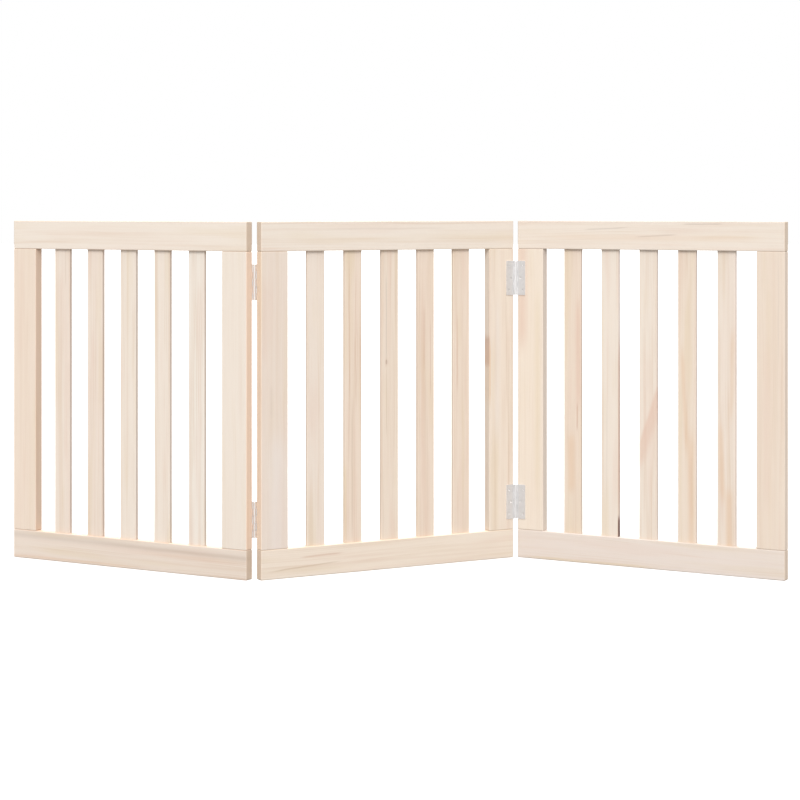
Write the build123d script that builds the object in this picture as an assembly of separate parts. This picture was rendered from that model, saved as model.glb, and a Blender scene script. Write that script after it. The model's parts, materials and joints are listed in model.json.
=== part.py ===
from build123d import *
import os

# Free-standing folding pet gate: three slatted softwood panels joined by two pairs of butt hinges.
#
# Row frame: +Z up, floor at Z = 0, origin under the middle of the centre panel. The gate stands in its
# zigzag, with the front towards -Y. The left joint folds backwards and the right joint folds forwards,
# so the gate is the same seen from in front and, turned half round, from behind.
#
# Panel frame: X along the panel from its middle, Y from the front (-) to the back (+), Z up.
# Hinge frame: the pin is the Z axis at mid height, the boards it is screwed to lie on the +Y side.

# ---- driving dimensions, mm and degrees ------------------------------------------------------------

# panel frame
panel_width = 496.7
panel_height = 600.0
board_thickness = 18.0
rail_height = 50.0
stile_width = 50.0
board_ease = 1.5          # rounding of every long and short edge of rails and stiles

# slats, let into mortises in both rails
slat_count = 5
slat_width = 33.0
slat_thickness = 7.0
slat_ease = 1.0
tenon_length = 11.0
mortise_clearance = 0.15  # round the slat on all four sides
mortise_end_gap = 1.0     # beyond the tenon's end

# dowels, two to each joint of rail and stile
dowel_diameter = 8.0
dowel_length = 40.0
dowel_spacing = 24.0
dowel_clearance = 0.1
dowel_end_gap = 1.0
dowel_chamfer = 1.0

# hinges, five knuckles on a riveted pin
hinge_height = 61.0
leaf_reach = 18.0         # from the pin's axis to the leaf's outer edge
leaf_thickness = 1.2
leaf_corner = 1.5
pin_diameter = 3.3
pin_clearance = 0.05
pin_chamfer = 0.3
knuckle_count = 5
knuckle_gap = 0.3         # up and down between neighbouring knuckles
notch_clearance = 0.5     # between a leaf's notch and the other leaf's knuckle
end_gap = 5.0             # between neighbouring panels when the gate is opened flat
upper_hinge_gap = 21.5    # from the top rail down to the upper hinge
lower_hinge_gap = 19.0    # from the bottom rail up to the lower hinge

# hinge screws, three to a leaf, countersunk with a cross recess
screw_diameter = 3.0
screw_length = 16.0
screw_tip_length = 4.0
screw_head_diameter = 6.0
screw_head_land = 0.2     # straight rim above the countersink
screw_clearance = 0.05
screw_recess_width = 0.8
screw_recess_length = 3.2
screw_recess_depth = 1.1
screw_row_spacing = 21.0  # up and down from the middle screw to the other two
outer_screw_reach = 13.0  # from the pin's axis
middle_screw_reach = 9.0

# rest pose: how far the centre panel is turned, and how far each side panel is folded from flat
centre_turn = 29.0
rest_fold = 58.4

# ---- sizes that follow -----------------------------------------------------------------------------

stile_height = panel_height - 2 * rail_height
knuckle_radius = pin_diameter / 2 + pin_clearance + leaf_thickness
knuckle_height = (hinge_height - (knuckle_count - 1) * knuckle_gap) / knuckle_count
slat_gap = (panel_width - 2 * stile_width - slat_count * slat_width) / (slat_count + 1)
slat_pitch = slat_width + slat_gap
slat_middle = (slat_count - 1) / 2
hinge_heights = {
    "upper": panel_height - rail_height - upper_hinge_gap - hinge_height / 2,
    "lower": rail_height + lower_hinge_gap + hinge_height / 2,
}

# the right joint's pin in the centre panel's frame, and each panel's place in the row frame
pin_x = panel_width / 2 + end_gap / 2
pin_y = -board_thickness / 2 - knuckle_radius
centre_place = Rot(0, 0, centre_turn)
half_turn = Rot(0, 0, 180)
right_pin_place = centre_place * Pos(pin_x, pin_y, 0)
right_place = right_pin_place * Rot(0, 0, -rest_fold) * Pos(pin_x, -pin_y, 0)
left_place = half_turn * right_place * half_turn


# ---- boards, in the panel frame --------------------------------------------------------------------

def eased_board(width, thickness, height, ease):
    """A planed board with all its edges rounded, centred on the origin."""
    board = Box(width, thickness, height)
    return fillet(board.edges(), ease)


def stile_x(side):
    """Middle of the stile on one side of a panel: -1 for left, 1 for right."""
    return side * (panel_width - stile_width) / 2


def dowel_places():
    """Middle of every dowel: two at each end of both stiles."""
    return [
        Pos(stile_x(side) + offset, 0, joint_z)
        for side in (-1, 1)
        for offset in (-dowel_spacing / 2, dowel_spacing / 2)
        for joint_z in (rail_height, panel_height - rail_height)
    ]


def dowel_holes():
    """What the dowels' holes take out of the rails and the stiles."""
    hole = Cylinder(dowel_diameter / 2 + dowel_clearance, dowel_length + 2 * dowel_end_gap)
    return [place * hole for place in dowel_places()]


def slat_x(number):
    """Middle of a slat, counted from 0 at the panel's left."""
    return (number - slat_middle) * slat_pitch


def mortises():
    """What the slats' mortises take out of both rails."""
    length = stile_height + 2 * (tenon_length + mortise_end_gap)
    cutter = Box(
        slat_width + 2 * mortise_clearance,
        slat_thickness + 2 * mortise_clearance,
        length,
    )
    return [Pos(slat_x(n), 0, panel_height / 2) * cutter for n in range(slat_count)]


def rail(middle_z):
    """A rail across the whole panel, with mortises and dowel holes in its inner edge."""
    board = Pos(0, 0, middle_z) * eased_board(panel_width, board_thickness, rail_height, board_ease)
    return board - mortises() - dowel_holes()


def stile(side):
    """A stile between the rails, with dowel holes in its ends."""
    board = eased_board(stile_width, board_thickness, stile_height, board_ease)
    return Pos(stile_x(side), 0, panel_height / 2) * board - dowel_holes()


def slat(number):
    """A slat with its ends let into both rails."""
    board = eased_board(slat_width, slat_thickness, stile_height + 2 * tenon_length, slat_ease)
    return Pos(slat_x(number), 0, panel_height / 2) * board


def dowels():
    """All the dowels of a panel, with chamfered ends."""
    peg = Cylinder(dowel_diameter / 2, dowel_length)
    peg = chamfer(peg.edges().filter_by(GeomType.CIRCLE), dowel_chamfer)
    return Compound(children=[place * peg for place in dowel_places()])


# ---- hinges, in the hinge frame --------------------------------------------------------------------

def knuckle_slots(first):
    """Middle heights of every second knuckle, from the given one down from the top."""
    step = knuckle_height + knuckle_gap
    top = (hinge_height - knuckle_height) / 2
    return [top - n * step for n in range(first, knuckle_count, 2)]


def screw_points(side):
    """Middle of each screw's head on the leaf's outer face, for the leaf on one side of the pin."""
    face_y = knuckle_radius - leaf_thickness
    rows = (
        (outer_screw_reach, screw_row_spacing),
        (middle_screw_reach, 0),
        (outer_screw_reach, -screw_row_spacing),
    )
    return [Pos(side * reach, face_y, z) for reach, z in rows]


def screw_body(clearance):
    """A countersunk screw without its recess, grown by a clearance. It points along +Y from the origin."""
    head = screw_head_diameter / 2 + clearance
    shank = screw_diameter / 2 + clearance
    cone_end = screw_head_land + head - shank
    tip_start = screw_length - screw_tip_length
    outline = Polyline(
        (0, 0),
        (head, 0),
        (head, screw_head_land),
        (shank, cone_end),
        (shank, tip_start),
        (0, screw_length + clearance),
        close=True,
    )
    return revolve(make_face(outline), Axis.Y)


def screw():
    """A countersunk wood screw with a cross recess in its head."""
    slot = Box(screw_recess_length, 2 * screw_recess_depth, screw_recess_width)
    return screw_body(0) - slot - Rot(0, 90, 0) * slot


def leaf(side, own, other):
    """A hinge leaf with knuckles rolled from its plate. Own and other are knuckle heights."""
    reach = side * leaf_reach
    plate_y = knuckle_radius - leaf_thickness / 2
    plate = Pos(reach / 2, plate_y, 0) * Box(leaf_reach, leaf_thickness, hinge_height)
    corners = plate.edges().filter_by(Axis.Y).group_by(Axis.X)[-1 if side > 0 else 0]
    leaf_solid = fillet(corners, leaf_corner)
    barrel = Cylinder(knuckle_radius, knuckle_height)
    notch_reach = 2 * (knuckle_radius + notch_clearance)
    notch = Box(notch_reach, notch_reach, knuckle_height + 2 * knuckle_gap)
    leaf_solid -= [Pos(0, 0, z) * notch for z in other]
    leaf_solid += [Pos(0, 0, z) * barrel for z in own]
    leaf_solid -= Cylinder(pin_diameter / 2 + pin_clearance, hinge_height)
    return leaf_solid - [point * screw_body(screw_clearance) for point in screw_points(side)]


def pin():
    """The hinge pin, flush with the outer knuckles and slightly chamfered."""
    rod = Cylinder(pin_diameter / 2, hinge_height)
    return chamfer(rod.edges().filter_by(GeomType.CIRCLE), pin_chamfer)


def screws(side):
    """The three screws of the leaf on one side of the pin."""
    return Compound(children=[point * screw() for point in screw_points(side)])


def screw_holes(side):
    """What the screws of both hinges cut out of the stile on one side of the pin, at panel heights."""
    cutter = screw_body(screw_clearance)
    return [
        Pos(0, 0, z) * point * cutter for z in hinge_heights.values() for point in screw_points(side)
    ]


# ---- assembly --------------------------------------------------------------------------------------

parts = {}


def place_panel(name, place, drilled_stiles):
    """Adds a panel's boards and dowels. Drilled stiles maps a side to the screw holes' cutters."""
    boards = {"top_rail": rail(panel_height - rail_height / 2), "bottom_rail": rail(rail_height / 2)}
    for side, side_name in ((-1, "left"), (1, "right")):
        boards[f"{side_name}_stile"] = stile(side) - drilled_stiles.get(side, [])
    for n in range(slat_count):
        boards[f"slat_{n + 1}"] = slat(n)
    boards["dowels"] = dowels()
    for board_name, board in boards.items():
        parts[f"{name}_{board_name}"] = place * board


def place_hinge(name, place):
    """Adds a hinge. The three-knuckle leaf and the pin are on the centre panel, on the pin's -X side."""
    three, two = knuckle_slots(0), knuckle_slots(1)
    parts[f"{name}_centre_leaf"] = place * leaf(-1, three, two)
    parts[f"{name}_pin"] = place * pin()
    parts[f"{name}_centre_screws"] = place * screws(-1)


def place_outer_leaf(name, place):
    """Adds the two-knuckle leaf and its screws, turned with the side panel."""
    three, two = knuckle_slots(0), knuckle_slots(1)
    parts[f"{name}_outer_leaf"] = place * leaf(1, two, three)
    parts[f"{name}_outer_screws"] = place * screws(1)


# the centre panel's right stile is drilled from the front, its left stile from the back
from_centre = Pos(pin_x, pin_y, 0)
from_side = Pos(-pin_x, pin_y, 0)
centre_holes = [from_centre * hole for hole in screw_holes(-1)]
side_holes = [from_side * hole for hole in screw_holes(1)]
place_panel("centre", centre_place, {1: centre_holes, -1: [half_turn * hole for hole in centre_holes]})
place_panel("right", right_place, {-1: side_holes})
place_panel("left", left_place, {1: [half_turn * hole for hole in side_holes]})

for level, height in hinge_heights.items():
    for side_name, turned in (("right", Rot(0, 0, 0)), ("left", half_turn)):
        hinge_name = f"{side_name}_{level}_hinge"
        flat_place = turned * right_pin_place * Pos(0, 0, height)
        place_hinge(hinge_name, flat_place)
        place_outer_leaf(hinge_name, flat_place * Rot(0, 0, -rest_fold))

if __name__ == "__main__":
    os.makedirs("parts", exist_ok=True)
    for node, shape in parts.items():
        export_step(shape, f"parts/{node}.step")
    print("right joint's axis in the row frame", right_pin_place.position)
    print("gap between slats", round(slat_gap, 2))
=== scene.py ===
"""A folding pet gate in a white studio: pine boards, rolled steel hinges, wood screws and fluted pegs."""
import json
import logging
import math
from dataclasses import dataclass, field
from enum import Enum

import bmesh
import bpy
import numpy as np
from mathutils import Matrix, Vector


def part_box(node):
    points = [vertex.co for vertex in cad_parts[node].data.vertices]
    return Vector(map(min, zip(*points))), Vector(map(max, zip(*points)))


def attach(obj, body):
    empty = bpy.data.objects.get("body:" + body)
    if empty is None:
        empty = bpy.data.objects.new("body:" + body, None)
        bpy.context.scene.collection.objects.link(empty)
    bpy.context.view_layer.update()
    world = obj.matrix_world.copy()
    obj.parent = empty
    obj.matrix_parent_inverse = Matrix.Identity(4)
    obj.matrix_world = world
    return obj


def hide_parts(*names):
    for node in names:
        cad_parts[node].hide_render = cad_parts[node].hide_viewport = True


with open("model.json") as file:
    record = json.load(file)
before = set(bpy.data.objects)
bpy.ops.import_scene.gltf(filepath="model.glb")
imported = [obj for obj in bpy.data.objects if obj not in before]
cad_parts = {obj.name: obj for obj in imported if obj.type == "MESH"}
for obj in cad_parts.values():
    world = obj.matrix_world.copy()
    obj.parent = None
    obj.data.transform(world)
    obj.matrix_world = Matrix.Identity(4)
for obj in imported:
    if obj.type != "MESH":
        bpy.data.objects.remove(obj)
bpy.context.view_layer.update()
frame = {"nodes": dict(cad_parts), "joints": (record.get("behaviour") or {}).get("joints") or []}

LOG = logging.getLogger("pet_gate")
MM = 0.001
MERGE = 0.002  # points closer than this, in millimetres, are one
HALF_HEIGHT = 300.0  # from the floor to the middle of a standing board

Colour = tuple[float, float, float]
Triple = tuple[float, float, float]
Span = tuple[float, float]


# ---- where things are ------------------------------------------------------------------------------


@dataclass(frozen=True)
class Place:
    """An upright frame: an origin in metres, and a turn about the vertical in radians."""

    origin: Triple
    turn: float

    def carry(self, points: np.ndarray) -> np.ndarray:
        """Turns points about the vertical and moves them to the origin.

        Args:
            points: coordinates in this frame, in millimetres, in an array whose last axis is x, y, z.

        Returns:
            The same points in the row's frame, in metres.
        """
        c, s = math.cos(self.turn), math.sin(self.turn)
        turned = np.array(((c, s, 0.0), (-s, c, 0.0), (0.0, 0.0, 1.0)))
        return points @ turned * MM + np.array(self.origin)

    def axis(self, x: float, y: float) -> Vector:
        """A level direction of this frame, in the row's frame."""
        c, s = math.cos(self.turn), math.sin(self.turn)
        return Vector((c * x - s * y, s * x + c * y, 0.0))

    def half_turned(self) -> "Place":
        """The same origin, turned half round."""
        return Place(self.origin, self.turn + math.pi)


def middle(node: str) -> Vector:
    """The middle of a CAD node's box, in metres."""
    low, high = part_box(node)
    return (low + high) / 2


# ---- surfaces --------------------------------------------------------------------------------------


class Surface:
    """A closed mesh put together from grids of points, in millimetres."""

    def __init__(self) -> None:
        """Starts without points or faces."""
        self.points: list[np.ndarray] = []
        self.faces: list[np.ndarray] = []
        self.count = 0

    def add(self, points: np.ndarray, faces: np.ndarray) -> None:
        """Adds points, and faces that count them from zero.

        Args:
            points: an array of any shape whose last axis is x, y, z.
            faces: four point numbers to a row.
        """
        flat = points.reshape(-1, 3)
        self.points.append(flat)
        self.faces.append(faces + self.count)
        self.count += len(flat)

    def grid(self, points: np.ndarray, closed: bool = False) -> None:
        """Adds a net of four-sided faces.

        Args:
            points: rows by columns by x, y, z.
            closed: whether the last column joins the first.
        """
        rows, columns = points.shape[:2]
        number = np.arange(rows * columns).reshape(rows, columns)
        if closed:
            number = np.hstack((number, number[:, :1]))
        corners = (number[:-1, :-1], number[:-1, 1:], number[1:, 1:], number[1:, :-1])
        self.add(points, np.stack(corners, axis=-1).reshape(-1, 4))

    def build(self, name: str, place: Place, smooth_below: float = 35.0) -> bpy.types.Object:
        """Makes the object, with its doubles merged and its faces pointing outwards.

        Args:
            name: the object's name.
            place: the frame that the points are in.
            smooth_below: edges that turn by fewer degrees than this are shaded smooth.

        Returns:
            The object, at the origin, with its place in its mesh.
        """
        mesh = bpy.data.meshes.new(name)
        mesh.from_pydata(place.carry(np.vstack(self.points)), [], np.vstack(self.faces))
        work = bmesh.new()
        work.from_mesh(mesh)
        bmesh.ops.remove_doubles(work, verts=work.verts, dist=MERGE * MM)
        bmesh.ops.recalc_face_normals(work, faces=work.faces)
        work.to_mesh(mesh)
        work.free()
        mesh.polygons.foreach_set("use_smooth", np.ones(len(mesh.polygons), bool))
        mesh.set_sharp_from_angle(angle=math.radians(smooth_below))
        made = bpy.data.objects.new(name, mesh)
        bpy.context.scene.collection.objects.link(made)
        return made


def steps(marks: list[float], longest: float) -> np.ndarray:
    """Values through all the marks, in order, no further apart than the longest step."""
    ordered = sorted(set(marks))
    spans = [
        np.linspace(a, b, max(2, math.ceil((b - a) / longest) + 1))[:-1]
        for a, b in zip(ordered, ordered[1:])
    ]
    return np.append(np.concatenate(spans), ordered[-1])


# ---- shader expressions ----------------------------------------------------------------------------


class Wire:
    """An output of a node. Python's operators on it add Math nodes."""

    def __init__(self, shader: "Shader", socket: bpy.types.NodeSocket) -> None:
        """Keeps an output with the shader that it belongs to."""
        self.shader = shader
        self.socket = socket

    def __add__(self, other: "Value") -> "Wire":
        """Sum."""
        return self.shader.math("ADD", self, other)

    def __sub__(self, other: "Value") -> "Wire":
        """Difference."""
        return self.shader.math("SUBTRACT", self, other)

    def __rsub__(self, other: "Value") -> "Wire":
        """Difference from a number."""
        return self.shader.math("SUBTRACT", other, self)

    def __mul__(self, other: "Value") -> "Wire":
        """Product."""
        return self.shader.math("MULTIPLY", self, other)

    def __truediv__(self, other: "Value") -> "Wire":
        """Quotient."""
        return self.shader.math("DIVIDE", self, other)

    def __abs__(self) -> "Wire":
        """Size without sign."""
        return self.shader.math("ABSOLUTE", self)

    __radd__ = __add__
    __rmul__ = __mul__


Value = Wire | float
Source = Wire | float | tuple[float, ...]


class Shader:
    """The nodes of a material or of the world."""

    def __init__(self, owner: bpy.types.Material | bpy.types.World) -> None:
        """Takes over the owner's nodes and clears them."""
        self.owner = owner
        owner.use_nodes = True
        self.tree = owner.node_tree
        self.tree.nodes.clear()

    def node(
        self,
        kind: str,
        settings: dict[str, object] | None = None,
        sockets: dict[str | int, Source] | None = None,
        output: str | int = 0,
    ) -> Wire:
        """Adds a node.

        Args:
            kind: the node's type.
            settings: its properties, set before its sockets.
            sockets: a value or a wire for each input, by name or number.
            output: the output that is returned, by name or number.

        Returns:
            The output, as a wire.
        """
        made = self.tree.nodes.new(kind)
        for name, value in (settings or {}).items():
            setattr(made, name, value)
        for name, value in (sockets or {}).items():
            if isinstance(value, Wire):
                self.tree.links.new(value.socket, made.inputs[name])
            else:
                made.inputs[name].default_value = value
        return Wire(self, made.outputs[output])

    def math(self, operation: str, *values: Value) -> Wire:
        """A Math node on one, two or three values."""
        return self.node("ShaderNodeMath", {"operation": operation}, dict(enumerate(values)))

    def vector(self, operation: str, *values: Source) -> Wire:
        """A Vector Math node on one, two or three vectors."""
        return self.node("ShaderNodeVectorMath", {"operation": operation}, dict(enumerate(values)))

    def scaled(self, vector: Source, factor: Value) -> Wire:
        """A vector or a colour times a factor."""
        return self.node(
            "ShaderNodeVectorMath", {"operation": "SCALE"}, {"Vector": vector, "Scale": factor}
        )

    def split(self, vector: Wire) -> tuple[Wire, Wire, Wire]:
        """The x, y and z of a vector."""
        first = self.node("ShaderNodeSeparateXYZ", {}, {0: vector})
        outputs = first.socket.node.outputs
        return first, Wire(self, outputs[1]), Wire(self, outputs[2])

    def rise(self, value: Value, low: float, high: float) -> Wire:
        """Goes smoothly from 0 at low to 1 at high, and from 1 to 0 where low is above high."""
        return self.node(
            "ShaderNodeMapRange",
            {"interpolation_type": "SMOOTHSTEP"},
            {"Value": value, "From Min": low, "From Max": high},
        )

    def noise(self, vector: Wire, scale: Triple, detail: float = 2.0, rough: float = 0.5) -> Wire:
        """Noise from 0 to 1, with its own scale along each axis."""
        return self.node(
            "ShaderNodeTexNoise",
            {},
            {"Vector": self.vector("MULTIPLY", vector, scale), "Scale": 1.0, "Detail": detail,
             "Roughness": rough},
        )

    def noise_along(self, value: Wire, scale: float) -> Wire:
        """Noise from 0 to 1 along one value."""
        return self.node(
            "ShaderNodeTexNoise", {"noise_dimensions": "1D"}, {"W": value * scale, "Scale": 1.0}
        )

    def mix(self, share: Value, under: Source, over: Source) -> Wire:
        """Goes from one colour to another."""
        colours = [c if isinstance(c, Wire) else (*c, 1.0) for c in (under, over)]
        return self.node(
            "ShaderNodeMix", {"data_type": "RGBA"}, {0: share, 6: colours[0], 7: colours[1]}, 2
        )

    def bump(self, height: Wire, strength: float, distance: float) -> Wire:
        """A normal from a height."""
        return self.node(
            "ShaderNodeBump", {}, {"Height": height, "Strength": strength, "Distance": distance}
        )

    def finish(
        self,
        sockets: dict[str | int, Source],
        shader: str = "ShaderNodeBsdfPrincipled",
        output: str = "ShaderNodeOutputMaterial",
    ) -> bpy.types.Material | bpy.types.World:
        """Adds the last shader and the output.

        Args:
            sockets: values or wires for the last shader.
            shader: the last shader's type.
            output: the output's type.

        Returns:
            The material or the world.
        """
        last = self.node(shader, {}, sockets)
        out = self.tree.nodes.new(output)
        self.tree.links.new(last.socket, out.inputs["Surface"])
        return self.owner


# ---- pine ------------------------------------------------------------------------------------------


class Stain(Enum):
    """Colours that a stretch of timber can take, as a share of the light it sends back."""

    RESIN = (0.085, 0.022, 0.014)
    HEART = (0.40, 0.22, 0.14)
    BROWN = (0.36, 0.25, 0.16)
    ROSE = (0.54, 0.37, 0.29)
    STRAW = (0.54, 0.435, 0.28)
    HONEY = (0.55, 0.38, 0.25)
    SLATE = (0.34, 0.28, 0.24)
    MILK = (0.60, 0.56, 0.54)


@dataclass(frozen=True)
class Streak:
    """A stained stretch along the grain, in millimetres from the middle of the board."""

    stain: Stain
    start: float
    end: float
    across: float
    width: float
    strength: float
    lean: float = 0.0
    waver: float = 3.0
    full: float = 0.55  # of its length, the share that has the whole stain

    def mask(self, shader: Shader, along: Wire, across: Wire, waver: Wire) -> Wire:
        """How much of the stain is at a point: 1 on the streak's line, 0 beyond its width and ends."""
        centre, half = (self.start + self.end) / 2, (self.end - self.start) / 2
        line = across - self.across - (along - centre) * self.lean - (waver - 0.5) * self.waver
        beside = shader.rise(abs(line), self.width / 2, 0.0)
        within = shader.rise(abs(along - centre), half, half * self.full)
        return beside * within * self.strength


@dataclass(frozen=True)
class Knot:
    """A small round or oval knot, in millimetres from the middle of the board. The halo, the core and
    the swelling of the rings round it start and end at so many times the knot's own size."""

    along: float
    across: float
    length: float
    width: float
    strength: float
    halo: Span = (2.4, 0.8)
    core: Span = (1.1, 0.6)
    swell: Span = (4.0, 0.5)
    dark: Colour = (0.16, 0.09, 0.055)
    halo_share: float = 0.45
    ragged: float = 0.6

    def distance(self, shader: Shader, along: Wire, across: Wire) -> Wire:
        """How far a point is from the knot's middle: 1 on its rim."""
        down = (along - self.along) / (self.length / 2)
        side = (across - self.across) / (self.width / 2)
        return shader.math("SQRT", down * down + side * side)


class Tone(Enum):
    """A board's own tone, as a share of the finish's pale wood."""

    PLAIN = (1.0, 1.0, 1.01)
    PALE = (1.015, 1.035, 1.05)
    COOL = (1.02, 1.065, 1.10)
    CREAM = (1.04, 1.045, 1.03)
    ASH = (0.975, 0.985, 1.03)
    DUN = (0.97, 0.96, 0.965)
    HONEY = (0.995, 0.975, 0.95)
    WARM = (1.0, 0.965, 0.935)


class EdgeTintAndShading(Enum):
    """The tint of a board's narrow edges, as a share of its face: partly the edges' own colour and partly
    painted light and shade for how the light falls on them. SHADED and BROWN darken them as painted
    shade, and GREY, PEACH and ORANGE lighten them as painted light.
    """

    SHADED = (0.91, 0.90, 0.90)
    CLEAN = (0.98, 0.97, 0.99)
    BROWN = (0.99, 0.90, 0.84)
    GREY = (1.04, 1.03, 1.03)
    PEACH = (1.17, 1.11, 1.02)
    ORANGE = (1.16, 1.02, 0.93)


@dataclass(frozen=True)
class Timber:
    """One board's own timber: where it grew in the trunk, and how it is coloured."""

    seed: int
    pith: tuple[float, float] = (8.0, -60.0)
    ring: float = 2.8
    tone: Tone = Tone.PLAIN
    # the narrow edges' tint: partly their own colour, partly painted shade and painted light
    edge: EdgeTintAndShading = EdgeTintAndShading.SHADED
    rose: float = 0.0
    figure: float = 1.0
    marks: tuple[Streak, ...] = ()
    knots: tuple[Knot, ...] = ()


@dataclass(frozen=True)
class Stock:
    """A size of planed board, in millimetres."""

    length: float
    width: float
    thickness: float


@dataclass(frozen=True)
class PineFinish:
    """Planed bare pine, cut out of a trunk of growth rings.

    A scale says how fine a pattern is along, across and through the board, for each millimetre. A span
    is where a pattern sets in and where it is whole, a gain is what it is multiplied by and what is then
    added, and a share is how much of its colour it gives.
    """

    pale: Colour = (0.608, 0.528, 0.453)
    late: Colour = (0.50, 0.375, 0.275)
    end: Colour = (0.56, 0.44, 0.335)
    even: Colour = (1.0, 1.0, 1.0)
    between_boards: Triple = (719.0, 137.0, 53.0)
    between_years: float = 31.0
    wander: float = 16.0
    wander_scale: Triple = (0.0026, 0.009, 0.009)
    crowding: float = 2.2
    crowding_scale: float = 0.09
    late_wood: Span = (0.25, 0.92)
    ring_end: Span = (1.0, 0.90)
    strong_scale: float = 0.11
    strong_years: Span = (0.38, 0.66)
    strong_gain: Span = (1.1, 0.12)
    patch_scale: Triple = (0.007, 0.05, 0.05)
    patch: Span = (0.36, 0.64)
    patch_gain: Span = (0.9, 0.1)
    fibre_scale: Triple = (0.03, 1.9, 1.9)
    band_scale: Triple = (0.0024, 0.11, 0.11)
    tint_scale: Triple = (0.0034, 0.045, 0.045)
    cloud_scale: Triple = (0.006, 0.03, 0.03)
    canal_scale: Triple = (0.07, 2.6, 2.6)
    waver_scale: Triple = (0.02, 0.02, 0.02)
    bands: Span = (0.47, 0.68)
    straw: Span = (0.52, 0.70)
    rose: Span = (0.47, 0.30)
    clouds: Span = (0.25, 0.8)
    canals: Span = (0.70, 0.80)
    ring_share: float = 0.42
    band_share: float = 0.34
    straw_share: float = 0.28
    rose_share: float = 0.20
    end_share: float = 0.7
    edge: Span = (1.0, 0.1)
    fibre_shade: float = 0.10
    canal_shade: float = 0.05
    rough: float = 0.60
    late_polish: float = 0.08
    fibre_rough: float = 0.2
    relief: Triple = (0.5, 0.6, 0.4)  # of late wood, fibres and canals
    shine: float = 0.35
    bump: float = 0.22
    bump_height: float = 0.25

    def dress(
        self, name: str, stock: Stock, timber: Timber, axes: Matrix, centre: Vector
    ) -> bpy.types.Material:
        """Makes one board's material.

        A point's distance from the pith, which wanders along the trunk, over the width of a ring
        gives the ring that it is in. Early wood is pale, and each ring ends in darker late wood.

        Args:
            name: the material's name.
            stock: the board's size.
            timber: the board's own timber.
            axes: the directions along, across and through the board, as columns.
            centre: the board's middle, in metres.

        Returns:
            The material.
        """
        shader = Shader(bpy.data.materials.new(name))
        spot = shader.node("ShaderNodeTexCoord", {}, {}, "Object")
        local = shader.node(
            "ShaderNodeMapping",
            {"vector_type": "TEXTURE"},
            {"Vector": spot, "Location": tuple(centre), "Rotation": tuple(axes.to_euler("XYZ")),
             "Scale": (MM, MM, MM)},
        )
        along, across, through = shader.split(local)
        shift = tuple(timber.seed * step for step in self.between_boards)
        trunk = shader.vector("ADD", local, shift)

        drift, sway, _ = shader.split(
            shader.node(
                "ShaderNodeTexNoise",
                {},
                {"Vector": shader.vector("MULTIPLY", trunk, self.wander_scale), "Scale": 1.0,
                 "Detail": 1.0},
                "Color",
            )
        )
        side = across - timber.pith[0] + (drift - 0.5) * self.wander
        deep = through - timber.pith[1] + (sway - 0.5) * self.wander
        radius = shader.math("SQRT", side * side + deep * deep)
        knots = [knot.distance(shader, along, across) for knot in timber.knots]
        for knot, distance in zip(timber.knots, knots):
            radius = radius + shader.rise(distance, *knot.swell) * timber.ring
        year = radius + timber.seed * self.between_years
        ring = radius / timber.ring + shader.noise_along(year, self.crowding_scale) * self.crowding
        phase = shader.math("FRACT", ring)
        late = shader.rise(phase, *self.late_wood) * shader.rise(phase, *self.ring_end)
        strong = shader.rise(shader.noise_along(year, self.strong_scale), *self.strong_years)
        late = late * (strong * self.strong_gain[0] + self.strong_gain[1])
        patch = shader.rise(shader.noise(trunk, self.patch_scale), *self.patch)
        late = late * (patch * self.patch_gain[0] + self.patch_gain[1])

        fibre = shader.noise(trunk, self.fibre_scale, detail=3.0, rough=0.65)
        bands = shader.noise(trunk, self.band_scale, detail=3.0, rough=0.6)
        tint = shader.noise(trunk, self.tint_scale)
        cloud = shader.noise(trunk, self.cloud_scale)
        canals = shader.rise(shader.noise(trunk, self.canal_scale, detail=1.0), *self.canals)
        waver = shader.noise(trunk, self.waver_scale)

        pale = tuple(part * share for part, share in zip(self.pale, timber.tone.value))
        colour = shader.mix(late * (self.ring_share * timber.figure), pale, self.late)
        for pattern, span, share, over in (
            (bands, self.bands, self.band_share * timber.figure, self.late),
            (tint, self.straw, self.straw_share * timber.figure, Stain.STRAW.value),
            (tint, self.rose, self.rose_share * timber.figure, Stain.ROSE.value),
            (cloud, self.clouds, timber.rose, Stain.ROSE.value),
        ):
            colour = shader.mix(shader.rise(pattern, *span) * share, colour, over)
        for mark in timber.marks:
            colour = shader.mix(mark.mask(shader, along, across, waver), colour, mark.stain.value)
        for knot, distance in zip(timber.knots, knots):
            halo = shader.rise(distance, *knot.halo) * (knot.halo_share * knot.strength)
            core = shader.rise(distance + (waver - 0.5) * knot.ragged, *knot.core) * knot.strength
            colour = shader.mix(halo, colour, Stain.HEART.value)
            colour = shader.mix(core, colour, knot.dark)
        half_width, half_length = stock.width / 2, stock.length / 2
        # the narrow faces take the timber's edge tint, which is partly their own colour and partly
        # painted shade and painted light
        edge_shading_mask = shader.rise(abs(across), *(half_width - inset for inset in self.edge))
        ends = shader.rise(abs(along), *(half_length - inset for inset in self.edge))
        colour = shader.vector("MULTIPLY", colour, shader.mix(edge_shading_mask, self.even, timber.edge.value))
        colour = shader.mix(ends * self.end_share, colour, self.end)
        shade = (fibre - 0.5) * self.fibre_shade + 1.0 - canals * self.canal_shade
        colour = shader.scaled(colour, shade)

        of_late, of_fibre, of_canals = self.relief
        relief = late * of_late + fibre * of_fibre - canals * of_canals
        rough = self.rough - late * self.late_polish + (fibre - 0.5) * self.fibre_rough
        return shader.finish({
            "Base Color": colour,
            "Roughness": rough,
            "Specular IOR Level": self.shine,
            "Normal": shader.bump(relief, self.bump, self.bump_height * MM),
        })


# ---- metal and pegs --------------------------------------------------------------------------------


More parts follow.
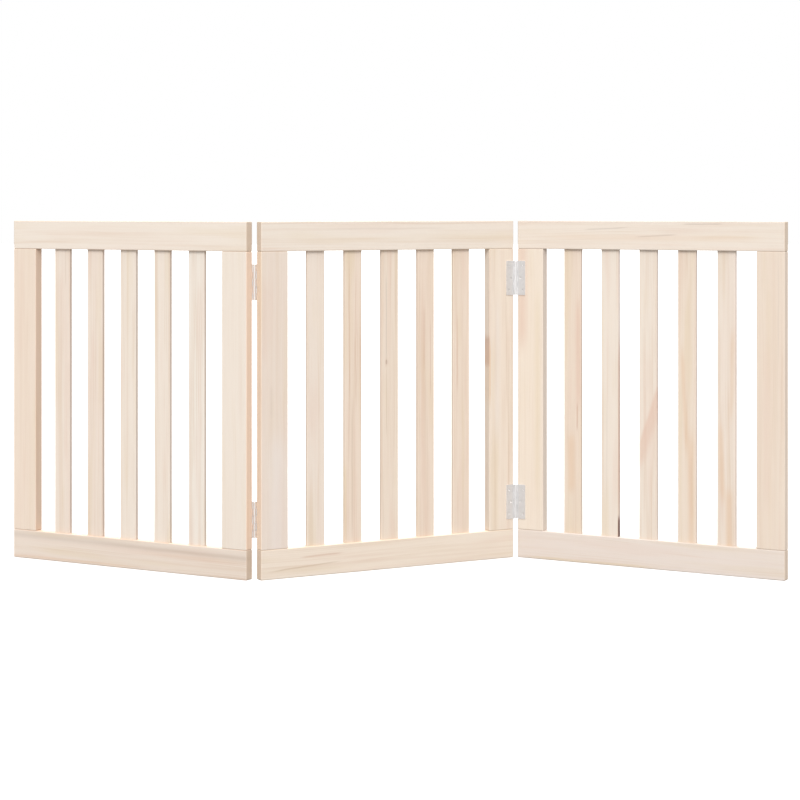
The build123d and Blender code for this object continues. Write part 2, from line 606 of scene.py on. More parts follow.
@dataclass(frozen=True)
class ZincFinish:
    """Bright zinc on pressed steel: faint spangle, rolling lines and fine scratches."""

    base: Colour = (0.92, 0.91, 0.905)
    dull: Colour = (0.82, 0.81, 0.81)
    rough: float = 0.32
    line_scale: Triple = (1.2, 1.2, 0.05)
    cloud_scale: Triple = (0.16, 0.16, 0.16)
    scratch_scale: Triple = (0.25, 0.25, 3.5)
    spangle_scale: float = 0.55
    clouds: Span = (0.35, 0.75)
    scratches: Span = (0.66, 0.74)
    cloud_share: float = 0.6
    spangle_share: float = 0.25
    line_rough: float = 0.22
    cloud_rough: float = 0.1
    scratch_rough: float = 0.12
    line_relief: float = 0.5
    bump: float = 0.10
    bump_height: float = 0.05

    def dress(self, name: str) -> bpy.types.Material:
        """Makes the material, with its pattern in millimetres of the row's frame."""
        shader = Shader(bpy.data.materials.new(name))
        spot = shader.node("ShaderNodeTexCoord", {}, {}, "Object")
        here = shader.scaled(spot, 1.0 / MM)
        rolled = shader.noise(here, self.line_scale, detail=3.0, rough=0.6)
        cloud = shader.noise(here, self.cloud_scale, detail=3.0, rough=0.6)
        scratch = shader.rise(shader.noise(here, self.scratch_scale, rough=0.7), *self.scratches)
        spangle = shader.node(
            "ShaderNodeTexVoronoi", {}, {"Vector": here, "Scale": self.spangle_scale}, "Color"
        )
        grey, _, _ = shader.split(spangle)
        share = shader.rise(cloud, *self.clouds) * self.cloud_share + grey * self.spangle_share
        colour = shader.mix(share, self.base, self.dull)
        rough = (rolled - 0.5) * self.line_rough + self.rough + cloud * self.cloud_rough
        rough = rough + scratch * self.scratch_rough
        return shader.finish({
            "Base Color": colour,
            "Metallic": 1.0,
            "Roughness": rough,
            "Normal": shader.bump(rolled * self.line_relief + scratch, self.bump, self.bump_height * MM),
        })


@dataclass(frozen=True)
class BeechFinish:
    """Turned beech with short dark rays."""

    base: Colour = (0.60, 0.40, 0.25)
    ray: Colour = (0.42, 0.25, 0.14)
    ray_scale: Triple = (1.6, 1.6, 0.35)
    fibre_scale: Triple = (2.0, 2.0, 0.06)
    rays: Span = (0.58, 0.70)
    ray_share: float = 0.6
    shade_gain: Span = (0.3, 0.85)
    rough: float = 0.5
    fibre_rough: float = 0.2
    bump: float = 0.2
    bump_height: float = 0.1

    def dress(self, name: str) -> bpy.types.Material:
        """Makes the material, with its grain up and down."""
        shader = Shader(bpy.data.materials.new(name))
        spot = shader.node("ShaderNodeTexCoord", {}, {}, "Object")
        here = shader.scaled(spot, 1.0 / MM)
        rays = shader.rise(shader.noise(here, self.ray_scale), *self.rays)
        fibre = shader.noise(here, self.fibre_scale, detail=3.0, rough=0.6)
        colour = shader.mix(rays * self.ray_share, self.base, self.ray)
        return shader.finish({
            "Base Color": shader.scaled(colour, fibre * self.shade_gain[0] + self.shade_gain[1]),
            "Roughness": (fibre - 0.5) * self.fibre_rough + self.rough,
            "Normal": shader.bump(fibre, self.bump, self.bump_height * MM),
        })


# ---- boards and panels -----------------------------------------------------------------------------


class Side(Enum):
    """Which way along the gate."""

    LEFT = -1
    RIGHT = 1


@dataclass
class Panel:
    """One slatted panel: two rails, two stiles, five slats and the pegs that hold the frame."""

    name: str
    timbers: dict[str, Timber]
    rail: Stock = Stock(496.7, 50.0, 18.0)
    stile: Stock = Stock(500.0, 50.0, 18.0)
    slat: Stock = Stock(522.0, 33.0, 7.0)
    peg_radius: float = 4.0
    peg_length: float = 40.0
    peg_spacing: float = 24.0
    flutes: int = 16
    flute_depth: float = 0.35
    flute_power: int = 8
    peg_taper: float = 1.2
    peg_run_out: float = 0.5
    peg_end: float = 0.80  # of its radius, at the end of the taper
    around: int = 96
    place: Place = field(init=False)

    def __post_init__(self) -> None:
        """Finds the panel's frame: its origin on the floor, and its turn from its outer slats."""
        first, last = middle(f"{self.name}_slat_1"), middle(f"{self.name}_slat_5")
        run = last - first
        origin = ((first.x + last.x) / 2, (first.y + last.y) / 2, 0.0)
        self.place = Place(origin, math.atan2(run.y, run.x))

    def dress(self, finish: PineFinish) -> None:
        """Gives every board of the panel its own timber."""
        run, out, up = self.place.axis(1, 0), self.place.axis(0, -1), Vector((0, 0, 1))
        lying = Matrix((run, up, out)).transposed()
        standing = Matrix((up, run, -out)).transposed()
        for part, timber in self.timbers.items():
            node = f"{self.name}_{part}"
            stock = self.slat if "slat" in part else self.rail if "rail" in part else self.stile
            axes = lying if "rail" in part else standing
            board = frame["nodes"][node]
            board.data.materials[0] = finish.dress(f"pine_{node}", stock, timber, axes, middle(node))
            LOG.info("%s: pine, timber %d", node, timber.seed)

    def pegs(self, finish: bpy.types.Material) -> None:
        """Makes the fluted pegs in place of the plain ones.

        A peg is a rod whose radius dips at each of its flutes: the radius less the flute's depth
        times a high power of the cosine of half the angle times the count of flutes. Its ends taper
        to a flat.

        Args:
            finish: the pegs' material.
        """
        turn = np.linspace(0.0, 2 * math.pi, self.around, endpoint=False)
        half = self.peg_length / 2
        full, run = half - self.peg_taper, half - self.peg_taper - self.peg_run_out
        height = np.array((-half, -half, -full, -run, 0.0, run, full, half, half))
        share = np.array((0.0, self.peg_end, 1.0, 1.0, 1.0, 1.0, 1.0, self.peg_end, 0.0))
        size = share * self.peg_radius
        body = (share == 1.0)[:, None]
        dip = np.cos(turn * self.flutes / 2) ** self.flute_power * self.flute_depth
        radius = size[:, None] - np.where(body, dip[None, :], 0.0)
        ring = np.stack((radius * np.cos(turn), radius * np.sin(turn),
                         np.broadcast_to(height[:, None], radius.shape)), axis=-1)
        surface = Surface()
        reach = (self.rail.length - self.stile.width) / 2
        for joint in (self.rail.width, self.rail.width + self.stile.length):
            for side in Side:
                for offset in (-self.peg_spacing / 2, self.peg_spacing / 2):
                    surface.grid(ring + (side.value * reach + offset, 0.0, joint), closed=True)
        made = surface.build(f"{self.name}_fluted_pegs", self.place)
        made.data.materials.append(finish)
        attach(made, f"{self.name}_panel")
        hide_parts(f"{self.name}_dowels")
        LOG.info("%s: %d points", made.name, len(made.data.vertices))


# ---- hinges ----------------------------------------------------------------------------------------


class Knuckles(Enum):
    """Which knuckles of five a leaf has, counted from the top."""

    THREE = (0, 2, 4)
    TWO = (1, 3)


@dataclass(frozen=True)
class Screw:
    """A countersunk wood screw with a cross recess, pointing along +Y from the origin."""

    head: float = 3.0
    shank: float = 1.5
    core: float = 1.05
    length: float = 16.0
    land: float = 0.03
    pitch: float = 1.35
    recess: float = 1.1
    slot: float = 0.42
    slot_reach: float = 1.65
    slot_wall: float = 0.12
    slot_ramp: float = 0.5
    rim: float = 0.06
    tip: float = 2.6
    tip_shape: float = 0.8
    thread_start: float = 0.4
    thread_run_in: float = 0.6
    crest: float = 1.5
    around: int = 48
    face_rings: int = 18
    stem_rings: int = 72
    tip_rings: int = 14

    def points(self, spin: float) -> np.ndarray:
        """The screw's surface on a grid of steps from the head's middle to the tip by angles.

        On the head the depth is that of a cross: each arm is a slot whose walls rise over about a
        tenth of a millimetre, and the deeper of the two arms counts. Below the head the radius
        runs down a cone to the core, and a ridge winds round the core once for each pitch, as high
        as a triangle wave of the height plus the turn.

        Args:
            spin: how far the screw is turned, in radians.

        Returns:
            Steps by angles by x, y, z, in millimetres.
        """
        turn = np.linspace(0.0, 2 * math.pi, self.around, endpoint=False)[None, :]
        rim = np.linspace(0.0, self.head - self.rim, self.face_rings)[:, None]
        x, z = rim * np.cos(turn), rim * np.sin(turn)

        def arm(a: np.ndarray, b: np.ndarray) -> np.ndarray:
            """One slot of the cross, from 0 outside to 1 inside."""
            wide = np.clip((self.slot - np.abs(b)) / self.slot_wall + 0.5, 0, 1)
            far = np.clip((self.slot_reach - np.abs(a)) / self.slot_ramp, 0, 1)
            return wide * far

        dish = self.recess * np.maximum(arm(x, z), arm(z, x))
        face = np.stack((x, dish, z), axis=-1)

        neck = self.land + self.head - self.core
        depth = np.concatenate((
            (0.0, self.land, neck),
            np.linspace(neck, self.length - self.tip, self.stem_rings)[1:],
            np.linspace(self.length - self.tip, self.length, self.tip_rings)[1:],
        ))[:, None]
        taper = np.clip((self.length - depth) / self.tip, 0.0, 1.0)
        bare = np.where(depth <= self.land, self.head,
                        np.maximum(self.head - (depth - self.land), self.core))
        winding = depth / self.pitch - turn / (2 * math.pi)
        ridge = 1.0 - 2.0 * np.abs(winding - np.floor(winding) - 0.5)
        threaded = np.clip((depth - neck - self.thread_start) / self.thread_run_in, 0.0, 1.0)
        thread = (self.shank - self.core) * ridge**self.crest * threaded
        radius = (bare + thread) * taper**self.tip_shape
        stem = np.stack((radius * np.cos(turn), np.broadcast_to(depth, radius.shape),
                         radius * np.sin(turn)), axis=-1)
        rows = np.concatenate((face, stem))
        c, s = math.cos(spin), math.sin(spin)
        return rows @ np.array(((c, 0.0, s), (0.0, 1.0, 0.0), (-s, 0.0, c)))


@dataclass
class Hinge:
    """A butt hinge: two rolled leaves, a pin and six screws. Its frame has the pin upright at the
    middle of its height, and the boards on the +Y side."""

    name: str
    side: Side
    inner: Place
    outer: Place
    height: float = 61.0
    reach: float = 18.0
    sheet: float = 1.2
    pin_radius: float = 1.65
    clearance: float = 0.05
    corner: float = 1.5
    knuckle_gap: float = 0.3
    notch: float = 0.12
    outer_row: float = 13.0
    middle_row: float = 9.0
    row_rise: float = 21.0
    seam: float = 303.0  # degrees that the sheet is rolled round the pin
    screw_square: float = 4.0
    spokes: tuple[float, ...] = (0.3, 0.6, 0.85, 1.0)
    seat_land: float = 0.2
    step_along: float = 1.05
    step_up: float = 1.1
    roll_steps: int = 30
    corner_steps: int = 7
    sheared_edge: float = 0.14
    sharp_angle: float = 40.0
    dome: float = 0.5
    dome_steps: int = 8
    around: int = 48
    screw_turn: float = 2.4  # radians from one screw to the next
    screw: Screw = Screw()

    @property
    def roll(self) -> float:
        """The radius of the middle of the sheet where it is rolled round the pin."""
        return self.pin_radius + self.clearance + self.sheet / 2

    @property
    def screw_spots(self) -> tuple[tuple[float, float], ...]:
        """How far each screw is from the pin, and how high."""
        return (
            (self.outer_row, self.row_rise),
            (self.middle_row, 0.0),
            (self.outer_row, -self.row_rise),
        )

    def knuckle_spans(self, knuckles: Knuckles) -> list[tuple[float, float]]:
        """The lowest and highest point of each of a leaf's knuckles."""
        tall = (self.height - 4 * self.knuckle_gap) / 5
        tops = [self.height / 2 - n * (tall + self.knuckle_gap) for n in knuckles.value]
        return [(top - tall, top) for top in tops]

    def bend(self, flat: np.ndarray, rise: np.ndarray, out: float) -> np.ndarray:
        """Rolls the flat blank round the pin.

        Args:
            flat: distance from the leaf's outer edge, measured along the sheet.
            rise: height.
            out: distance from the middle of the sheet towards the pin's side of it.

        Returns:
            The points: straight until above the pin, and then on a circle round it.
        """
        arc = np.maximum(flat - self.reach, 0.0) / self.roll
        radius = self.roll - out
        x = np.maximum(self.reach - flat, 0.0) - radius * np.sin(arc)
        return np.stack((x, radius * np.cos(arc), rise), axis=-1)

    def leaf(self, knuckles: Knuckles) -> Surface:
        """The leaf's closed surface, on the +X side of the pin.

        The blank is a grid of distances along the sheet by heights. Its cells are left out between
        the knuckles and round each screw, where spokes from a square to a circle fill the corner.
        Both skins are the blank bent at half the sheet's thickness to each side, and a wall joins
        them along every edge that only one cell has.

        Args:
            knuckles: the knuckles that the leaf has.

        Returns:
            The surface.
        """
        spans = self.knuckle_spans(knuckles)
        rolled = math.radians(self.seam) * self.roll
        inner, outer = self.roll - self.sheet / 2, self.roll + self.sheet / 2
        root = self.reach - math.sqrt((outer + self.notch) ** 2 - inner**2)
        box = self.screw_square
        half = self.height / 2
        along = np.concatenate((
            steps([0.0, self.reach - self.outer_row - box, self.reach - self.outer_row + box,
                   self.reach - self.middle_row - box, self.reach - self.middle_row + box, root,
                   self.reach], self.step_along),
            self.reach + np.linspace(0.0, rolled, self.roll_steps)[1:],
        ))
        marks = [edge for span in spans for edge in span] + [-half, half]
        marks += [z + way * box for _, z in self.screw_spots for way in (-1, 1)]
        ends = [way * (half - self.corner * (1 - math.sin(a))) for way in (-1, 1)
                for a in np.linspace(0.0, math.pi / 2, self.corner_steps)]
        up = steps([round(v, 6) for v in marks + ends], self.step_up)
        flat, rise = np.meshgrid(along, up, indexing="ij")

        over = np.clip(np.abs(rise) - (half - self.corner), 0.0, self.corner)
        inset = self.corner - np.sqrt(np.maximum(self.corner**2 - over**2, 0.0))
        flat = flat + inset * np.clip(1.0 - flat / root, 0.0, 1.0)

        mid_flat, mid_rise = (along[:-1] + along[1:]) / 2, (up[:-1] + up[1:]) / 2
        owned = np.any([(mid_rise > low) & (mid_rise < high) for low, high in spans], axis=0)
        keep = (mid_flat < root)[:, None] | owned[None, :]
        loops = []
        for far, z in self.screw_spots:
            here = self.reach - far
            i = [int(np.argmin(np.abs(along - (here + way * box)))) for way in (-1, 1)]
            j = [int(np.argmin(np.abs(up - (z + way * box)))) for way in (-1, 1)]
            keep[i[0]:i[1], j[0]:j[1]] = False
            loop = [(a, j[0]) for a in range(i[0], i[1])] + [(i[1], b) for b in range(j[0], j[1])]
            loop += [(a, j[1]) for a in range(i[1], i[0], -1)]
            loop += [(i[0], b) for b in range(j[1], j[0], -1)]
            loops.append((here, z, np.array(loop)))

        number = np.arange(flat.size).reshape(flat.shape)
        cells = np.stack((number[:-1, :-1], number[1:, :-1], number[1:, 1:], number[:-1, 1:]), axis=-1)
        faces = [cells[keep]]
        wide = self.screw.head + self.clearance
        narrow = wide - (self.sheet - self.seat_land)
        skins = {self.sheet / 2: wide, -self.sheet / 2: narrow}
        points = {out: [np.stack((flat, rise), axis=-1).reshape(-1, 2)] for out in skins}
        count = flat.size
        for here, z, loop in loops:
            square = np.stack((flat[tuple(loop.T)], rise[tuple(loop.T)]), axis=-1)
            spoke = square - (here, z)
            spoke = spoke / np.linalg.norm(spoke, axis=-1, keepdims=True)
            shares = np.array(self.spokes)[:, None, None]
            for out, hole in skins.items():
                circle = np.array((here, z)) + spoke * hole
                points[out].append((square + (circle - square) * shares).reshape(-1, 2))
            fresh = count + np.arange(shares.size * len(loop)).reshape(shares.size, len(loop))
            rings = np.vstack((number[tuple(loop.T)][None, :], fresh))
            after = np.roll(rings, -1, axis=1)
            patch = np.stack((rings[:-1], rings[1:], after[1:], after[:-1]), axis=-1)
            faces.append(patch.reshape(-1, 4))
            count += fresh.size
        skin = np.vstack(faces)

        edges = np.concatenate([skin[:, [k, (k + 1) % 4]] for k in range(4)])
        _, first, times = np.unique(np.sort(edges, axis=1), axis=0, return_index=True, return_counts=True)
        rim = edges[first[times == 1]]
        bent = [self.bend(*np.vstack(points[out]).T, out) for out in skins]
        walls = np.stack((rim[:, 0], rim[:, 1], rim[:, 1] + count, rim[:, 0] + count), axis=-1)
        surface = Surface()
        surface.add(np.vstack(bent), np.vstack((skin, skin[:, ::-1] + count, walls)))
        return surface

    def make_leaf(self, role: str, place: Place, knuckles: Knuckles, way: Side, body: str,
                  finish: bpy.types.Material) -> None:
        """Builds a leaf, and rounds its sheared edges."""
        surface = self.leaf(knuckles)
        surface.points = [points * (way.value, 1.0, 1.0) for points in surface.points]
        made = surface.build(f"{self.name}_{role}_rolled_leaf", place, smooth_below=180.0)
        round_edges = made.modifiers.new("sheared_edges", "BEVEL")
        round_edges.width = self.sheared_edge * MM
        round_edges.segments = 2
        round_edges.limit_method = "ANGLE"
        round_edges.angle_limit = math.radians(self.sharp_angle)
        round_edges.harden_normals = True
        self.hand_over(made, f"{self.name}_{role}_leaf", body, finish)

    def make_pin(self, finish: bpy.types.Material) -> None:
        """Builds the pin: a rod whose ends are peened to low domes.

        Its radius follows a quarter of an ellipse over the dome's height at each end.
        """
        lift = np.linspace(0.0, math.pi / 2, self.dome_steps)
        height = self.height / 2 - self.dome * (1.0 - np.sin(lift))
        top = np.stack((self.pin_radius * np.cos(lift), height), axis=-1)
        profile = np.vstack((top[::-1], top * (1.0, -1.0)))
        turn = np.linspace(0.0, 2 * math.pi, self.around, endpoint=False)
        radius, height = profile[:, :1], profile[:, 1:]
        rings = np.stack((radius * np.cos(turn), radius * np.sin(turn),
                          np.broadcast_to(height, (len(profile), len(turn)))), axis=-1)
        surface = Surface()
        surface.grid(rings, closed=True)
        made = surface.build(f"{self.name}_peened_pin", self.inner)
        self.hand_over(made, f"{self.name}_pin", "centre_panel", finish)

    def make_screws(self, role: str, place: Place, way: Side, body: str, turn: int,
                    finish: bpy.types.Material) -> None:
        """Builds the three screws of a leaf, each turned its own way."""
        surface = Surface()
        face = self.roll - self.sheet / 2
        for number, (far, z) in enumerate(self.screw_spots):
            spin = self.screw_turn * (number + len(self.screw_spots) * turn)
            surface.grid(self.screw.points(spin) + (way.value * far, face, z), closed=True)
        made = surface.build(f"{self.name}_{role}_wood_screws", place)
        self.hand_over(made, f"{self.name}_{role}_screws", body, finish)

    def hand_over(self, made: bpy.types.Object, node: str, body: str,
                  finish: bpy.types.Material) -> None:
        """Gives a piece its finish and its body, and hides the CAD node that it stands for."""
        made.data.materials.append(finish)
        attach(made, body)
        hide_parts(node)
        LOG.info("%s: %d points", made.name, len(made.data.vertices))

    def build(self, steel: bpy.types.Material, screw_steel: bpy.types.Material, turn: int) -> None:
        """Builds the whole hinge."""
        outer_body = f"{self.side.name.lower()}_panel"
        self.make_leaf("centre", self.inner, Knuckles.THREE, Side.LEFT, "centre_panel", steel)
        self.make_leaf("outer", self.outer, Knuckles.TWO, Side.RIGHT, outer_body, steel)
        self.make_pin(steel)
        self.make_screws("centre", self.inner, Side.LEFT, "centre_panel", turn, screw_steel)
        self.make_screws("outer", self.outer, Side.RIGHT, outer_body, turn + 1, screw_steel)


# ---- studio ----------------------------------------------------------------------------------------


def grey(level: float) -> tuple[float, float, float, float]:
    """A colour without a hue."""
    return level, level, level, 1.0


@dataclass(frozen=True)
class Lamp:
    """A large, distant studio lamp. Its bearing runs from straight in front towards the right, its
    rise from level to overhead and its spread across the lamp, all in degrees."""

    name: str
    bearing: float
    rise: float
    spread: float
    strength: float

    def build(self) -> None:
        """Adds the lamp."""
        light = bpy.data.lights.new(self.name, "SUN")
        light.angle = math.radians(self.spread)
        light.energy = self.strength
        bearing, rise = math.radians(self.bearing), math.radians(self.rise)
        source = Vector((
            math.sin(bearing) * math.cos(rise), -math.cos(bearing) * math.cos(rise), math.sin(rise)
        ))
        made = bpy.data.objects.new(self.name, light)
        made.rotation_euler = source.to_track_quat("Z", "Y").to_euler()
        bpy.context.scene.collection.objects.link(made)


@dataclass(frozen=True)
class Studio:
    """A pale floor, soft light all round and the camera in front of the gate."""

    eye: Triple = (0.01916, -3.726, 0.629)
    lens: float = 96.876
    sensor: float = 36.0
    shift_down: float = 0.2446
    floor_half: float = 30.0
    backdrop: float = 1.0
    ambient: float = 0.64
    floor_white: float = 0.87
    floor_grey: float = 0.35
    floor_rough: float = 0.8
    lamps: tuple[Lamp, ...] = (
        Lamp("front_key", -3.0, 37.0, 30.0, 2.95),
        Lamp("rear_fill", 180.0, 40.0, 60.0, 2.4),
        Lamp("overhead", 0.0, 78.0, 50.0, 1.1),
    )

    def build(self) -> None:
        """Adds the floor, the light and the camera."""
        scene = bpy.context.scene
        scene.view_settings.view_transform = "Standard"
        scene.view_settings.look = "None"
        scene.world = self.sky()
        for lamp in self.lamps:
            lamp.build()
        self.floor()
        lens = bpy.data.cameras.new("front_camera")
        lens.sensor_width = self.sensor
        lens.lens = self.lens
        lens.shift_y = -self.shift_down
        camera = bpy.data.objects.new("front_camera", lens)
        camera.location = self.eye
        camera.rotation_euler = (math.pi / 2, 0.0, 0.0)
        scene.collection.objects.link(camera)
        scene.camera = camera

    def sky(self) -> bpy.types.World:
        """Makes even light from all round, and the white that the camera sees beyond the gate."""
        shader = Shader(bpy.data.worlds.new("studio"))
        lit, seen = {"Color": grey(self.ambient)}, {"Color": grey(self.backdrop)}
        return self.two_ways(shader, "ShaderNodeBackground", lit, seen, "ShaderNodeOutputWorld")

    def two_ways(self, shader: Shader, kind: str, lit: dict[str | int, Source],
                 seen: dict[str | int, Source], output: str = "ShaderNodeOutputMaterial",
                 ) -> bpy.types.Material | bpy.types.World:
        """Gives the studio one look for the light it throws back and another for the camera.

        Args:
            shader: the shader of the floor or the sky.
            kind: the type of both its shaders.
            lit: the sockets of the one that lights the gate.
            seen: the sockets of the one that the camera sees.
            output: the output's type.

        Returns:
            The material or the world.
        """
        camera = shader.node("ShaderNodeLightPath", {}, {}, "Is Camera Ray")
        both = {0: camera, 1: shader.node(kind, {}, lit), 2: shader.node(kind, {}, seen)}
        return shader.finish(both, "ShaderNodeMixShader", output)

    def floor(self) -> None:
        """Adds a level sheet of pale floor."""
        line = np.linspace(-self.floor_half, self.floor_half, 3) / MM
        x, y = np.meshgrid(line, line, indexing="ij")
        surface = Surface()
        surface.grid(np.stack((x, y, np.zeros_like(x)), axis=-1))
        made = surface.build("studio_floor", Place((0.0, 0.0, 0.0), 0.0))
        if made.data.polygons[0].normal.z < 0:
            made.data.flip_normals()
        shader = Shader(bpy.data.materials.new("pale_floor"))
        lit = {"Base Color": grey(self.floor_grey), "Roughness": self.floor_rough}
        seen = {"Base Color": grey(self.floor_white), "Roughness": self.floor_rough}
        made.data.materials.append(self.two_ways(shader, "ShaderNodeBsdfPrincipled", lit, seen))


# ---- the gate --------------------------------------------------------------------------------------


def streak(stain: Stain, start: float, end: float, across: float, width: float, strength: float,
           lean: float = 0.0, waver: float = 3.0) -> Streak:
    """A streak of a standing board, whose start and end are heights above the floor."""
    low, high = start - HALF_HEIGHT, end - HALF_HEIGHT
    return Streak(stain, low, high, across, width, strength, lean, waver)


LEFT_TIMBERS = {
    "top_rail": Timber(1, (90, -60), 3.4, Tone.PALE, EdgeTintAndShading.ORANGE, figure=0.6),
    "bottom_rail": Timber(2, (-70, 45), 3.6, Tone.DUN, EdgeTintAndShading.ORANGE, marks=(
        Streak(Stain.SLATE, -420, 420, 14, 18, 0.30, -0.010, waver=2.0),
        Streak(Stain.BROWN, -100, 400, 12, 9, 0.18, -0.012),
        Streak(Stain.HONEY, -300, 60, -21, 6, 0.35),
    )),
    "left_stile": Timber(3, (75, -50), 3.2, Tone.WARM, EdgeTintAndShading.BROWN, figure=0.5, marks=(
        streak(Stain.ROSE, 330, 560, -8, 26, 0.10),
    )),
    "right_stile": Timber(4, (-85, -60), 2.6, Tone.PALE, EdgeTintAndShading.ORANGE, figure=0.4),
    "slat_1": Timber(5, (52, -30), 3.6, Tone.PLAIN, rose=0.12, marks=(
        streak(Stain.BROWN, 480, 560, 7, 3, 0.30),
    )),
    "slat_2": Timber(6, (-58, -34), 3.8, Tone.PLAIN, rose=0.12),
    "slat_3": Timber(7, (65, -35), 3.1, Tone.PALE),
    "slat_4": Timber(8, (40, -40), 3.6, Tone.PALE, rose=0.06),
    "slat_5": Timber(9, (-50, -45), 3.2, Tone.COOL, marks=(
        streak(Stain.BROWN, 80, 520, 0, 2.5, 0.12),
    )),
}

CENTRE_TIMBERS = {
    "top_rail": Timber(10, (75, 65), 3.6, Tone.PALE, EdgeTintAndShading.PEACH, figure=0.7, marks=(
        Streak(Stain.SLATE, -150, 120, 12, 5, 0.14, 0.004),
    )),
    "bottom_rail": Timber(11, (-80, -65), 3.6, Tone.CREAM, EdgeTintAndShading.PEACH, rose=0.10, figure=0.8, marks=(
        Streak(Stain.HEART, -180, -90, 9, 5, 0.40, 0.03),
        Streak(Stain.BROWN, -240, -90, -8, 4, 0.42, 0.06),
        Streak(Stain.HEART, -150, 40, 1, 5, 0.12, 0.02),
    )),
    "left_stile": Timber(12, (80, -45), 3.0, Tone.DUN, EdgeTintAndShading.PEACH, rose=0.10, figure=0.6, marks=(
        streak(Stain.ROSE, 350, 520, -18, 18, 0.22),
        streak(Stain.SLATE, 265, 330, -6, 11, 0.10),
        streak(Stain.MILK, 0, 260, 4, 60, 0.35),
    )),
    "right_stile": Timber(13, (65, -30), 2.8, Tone.CREAM, EdgeTintAndShading.GREY, rose=0.12, figure=0.9, marks=(
        streak(Stain.HEART, 335, 402, -25.5, 4, 0.55, waver=0.6),
        streak(Stain.HONEY, 268, 392, -23.6, 4.5, 0.62, waver=0.8),
        streak(Stain.BROWN, 30, 420, 15, 3.5, 0.26),
        streak(Stain.BROWN, 250, 520, 10, 5, 0.16, -0.012),
        streak(Stain.BROWN, 60, 460, 20, 2.5, 0.22),
        streak(Stain.MILK, 180, 480, -8, 18, 0.30),
    )),
    "slat_1": Timber(14, (60, -35), 3.5, Tone.PLAIN, EdgeTintAndShading.GREY),
    "slat_2": Timber(15, (22, -16), 3.2, Tone.WARM, EdgeTintAndShading.GREY, rose=0.06, figure=1.4, marks=(
        streak(Stain.HEART, 290, 560, -7.5, 2.6, 0.38),
        streak(Stain.HEART, 270, 530, 5, 2.6, 0.34),
        streak(Stain.BROWN, 40, 310, -2, 5, 0.30),
        streak(Stain.HEART, 220, 440, 15.5, 4, 0.45, waver=1.0),
        streak(Stain.STRAW, 40, 200, -15, 5, 0.55),
    )),
    "slat_3": Timber(16, (-48, -26), 3.3, Tone.HONEY, EdgeTintAndShading.GREY, figure=1.3, marks=(
        streak(Stain.SLATE, 340, 520, -7, 3.5, 0.42, waver=1.5),
        streak(Stain.BROWN, 220, 356, -6.5, 3.0, 0.32, waver=1.5),
        streak(Stain.BROWN, 60, 500, 6, 3.0, 0.16),
    ), knots=(Knot(56.6, -6.8, 10.0, 4.0, 0.34),)),
    "slat_4": Timber(17, (54, -28), 3.1, Tone.WARM, EdgeTintAndShading.GREY, rose=0.10, figure=1.0, marks=(
        streak(Stain.ROSE, 60, 520, -6, 14, 0.25),
        streak(Stain.HEART, 330, 460, -3.5, 6, 0.24),
        streak(Stain.HEART, 280, 440, 9, 2.8, 0.42),
        streak(Stain.BROWN, 60, 290, 3, 5, 0.14),
    )),
    "slat_5": Timber(18, (-54, -30), 3.4, Tone.WARM, EdgeTintAndShading.GREY, figure=1.2, marks=(
        streak(Stain.HEART, 290, 450, -8, 5, 0.30),
        streak(Stain.STRAW, 80, 300, 4, 9, 0.25),
    )),
}

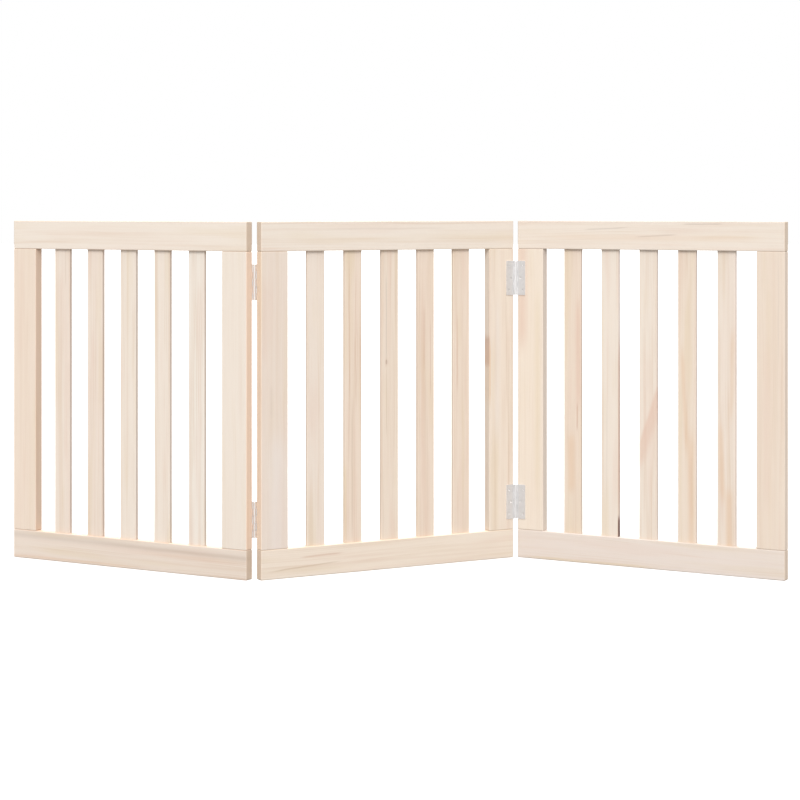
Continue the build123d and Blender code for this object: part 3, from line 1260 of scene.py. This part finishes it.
RIGHT_TIMBERS = {
    "top_rail": Timber(19, (-80, -70), 3.5, Tone.PALE, EdgeTintAndShading.CLEAN, figure=0.7, marks=(
        Streak(Stain.SLATE, -125, -30, 12, 3.5, 0.40, 0.05),
        Streak(Stain.SLATE, -25, 60, 0, 4, 0.42, 0.05),
        Streak(Stain.SLATE, 60, 145, 20, 4, 0.40, 0.02),
        Streak(Stain.HONEY, -230, 240, -4, 20, 0.22),
    )),
    "bottom_rail": Timber(20, (-80, 60), 3.3, Tone.ASH, EdgeTintAndShading.GREY, figure=0.6, marks=(
        Streak(Stain.STRAW, -250, 40, -22, 7, 0.5),
    )),
    "left_stile": Timber(21, (68, -55), 3.0, Tone.CREAM, EdgeTintAndShading.CLEAN, figure=0.45, marks=(
        streak(Stain.ROSE, 350, 620, -16, 34, 0.48),
        streak(Stain.STRAW, 60, 520, 14, 18, 0.30),
    )),
    "right_stile": Timber(22, (-72, -48), 3.3, Tone.HONEY, EdgeTintAndShading.GREY, rose=0.08, figure=0.6, marks=(
        streak(Stain.ROSE, 90, 420, -6, 26, 0.20),
        streak(Stain.SLATE, 350, 560, 14, 3.5, 0.16),
    )),
    "slat_1": Timber(23, (50, -30), 3.3, Tone.HONEY, EdgeTintAndShading.CLEAN, rose=0.12, marks=(
        streak(Stain.HEART, 228, 284, 9, 3.5, 0.60, waver=1.5),
        streak(Stain.ROSE, 250, 480, 11, 17, 0.50),
        streak(Stain.HONEY, 110, 235, -2, 26, 0.46),
    )),
    "slat_2": Timber(24, (-62, -44), 3.2, Tone.PALE, EdgeTintAndShading.CLEAN, marks=(
        streak(Stain.RESIN, 20, 92, 16.4, 4, 0.95, waver=0.5),
        # the next streak lies over the slat's right narrow face and the edge of its face: darker reddish
        # brown from 50 to 430 mm up
        streak(Stain.HEART, 50, 430, 16.8, 3, 0.75, waver=0.5),
        streak(Stain.SLATE, 90, 300, -6, 5, 0.14),
    )),
    "slat_3": Timber(25, (56, -30), 3.0, Tone.PALE, EdgeTintAndShading.CLEAN, marks=(
        streak(Stain.ROSE, 150, 350, 6.0, 32, 0.52, 0.33, 2.0),
        streak(Stain.ROSE, 190, 330, 2.0, 12, 0.40, 0.33, 2.0),
    )),
    "slat_4": Timber(26, (44, -30), 3.6, Tone.HONEY, EdgeTintAndShading.CLEAN, marks=(
        streak(Stain.HONEY, 190, 400, -4, 14, 0.45, -0.05),
        streak(Stain.HEART, 75, 210, 8, 12, 0.16),
        streak(Stain.HONEY, 10, 260, 8, 20, 0.50),
    )),
    "slat_5": Timber(27, (-46, -34), 3.4, Tone.PLAIN, EdgeTintAndShading.CLEAN, marks=(
        streak(Stain.HONEY, 110, 270, -9, 18, 0.48, -0.04),
        streak(Stain.HONEY, 10, 160, 5, 24, 0.52),
        streak(Stain.HONEY, 250, 430, 10, 14, 0.36, 0.02),
    )),
}


def hinge_place(joint: str, panel: Panel, height: float) -> Place:
    """The frame of a hinge: on its joint's axis, turned with a panel, with the boards at +Y."""
    found = next(j for j in frame["joints"] if j["name"] == joint)
    x, y, _ = found["pos_m"]
    place = Place((x, y, height), panel.place.turn)
    return place.half_turned() if joint == "left_fold" else place


def main() -> None:
    """Builds the studio, the panels and the hinges."""
    logging.basicConfig(level=logging.INFO, format="%(message)s")
    Studio().build()
    pine, beech = PineFinish(), BeechFinish().dress("turned_beech")
    steel = ZincFinish().dress("zinc_plated_steel")
    bright = ZincFinish(base=(0.90, 0.89, 0.88), dull=(0.80, 0.79, 0.785), rough=0.30)
    screw_steel = bright.dress("zinc_screw")
    panels = {
        "left": Panel("left", LEFT_TIMBERS),
        "centre": Panel("centre", CENTRE_TIMBERS),
        "right": Panel("right", RIGHT_TIMBERS),
    }
    for panel in panels.values():
        panel.dress(pine)
        panel.pegs(beech)
    turn = 0
    for side in Side:
        for level in ("upper", "lower"):
            word = side.name.lower()
            name = f"{word}_{level}_hinge"
            height = middle(f"{name}_pin").z
            inner = hinge_place(f"{word}_fold", panels["centre"], height)
            outer = hinge_place(f"{word}_fold", panels[word], height)
            Hinge(name, side, inner, outer).build(steel, screw_steel, turn)
            turn += 2


if __name__ == "__main__":
    main()
